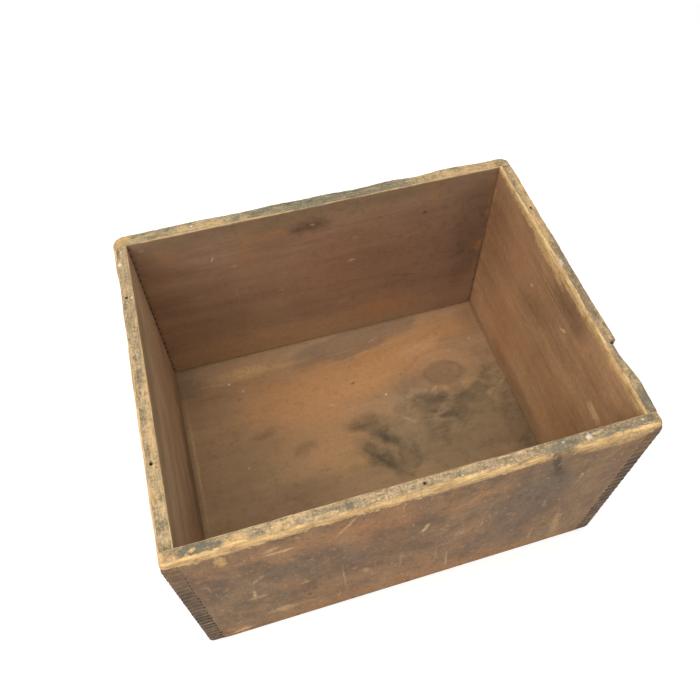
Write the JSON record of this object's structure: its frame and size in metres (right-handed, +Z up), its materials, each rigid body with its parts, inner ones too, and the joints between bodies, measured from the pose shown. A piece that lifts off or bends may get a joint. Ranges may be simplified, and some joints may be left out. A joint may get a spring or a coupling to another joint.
{
  "type": "wooden advertising box",
  "caption": "Open-topped rectangular wooden box with finger-jointed corners and an inset nailed bottom, for holding and showing goods.",
  "frame": {"origin": "middle of the underside, on the surface that the box stands on", "axes": "+X along the long sides towards the right end, +Y towards the back board, +Z up"},
  "size_m": [0.406, 0.324, 0.243],
  "materials": {
    "side_wood": "aged bare softwood, stained brown by handling, with pale ochre wood bare on the worn arrises",
    "end_wood": "aged bare softwood, stained brown, with grey dirt in the rim's end",
    "bottom_wood": "aged bare softwood with a knot and dark stains",
    "nail_iron": "dark rusted iron wire"
  },
  "bodies": {
    "root": {"front_board": "side_wood", "back_board": "side_wood", "left_end": "end_wood", "right_end": "end_wood", "bottom_board": "bottom_wood", "bottom_nails_front": "nail_iron", "bottom_nails_back": "nail_iron", "bottom_nails_left": "nail_iron", "bottom_nails_right": "nail_iron"}
  },
  "joints": []
}
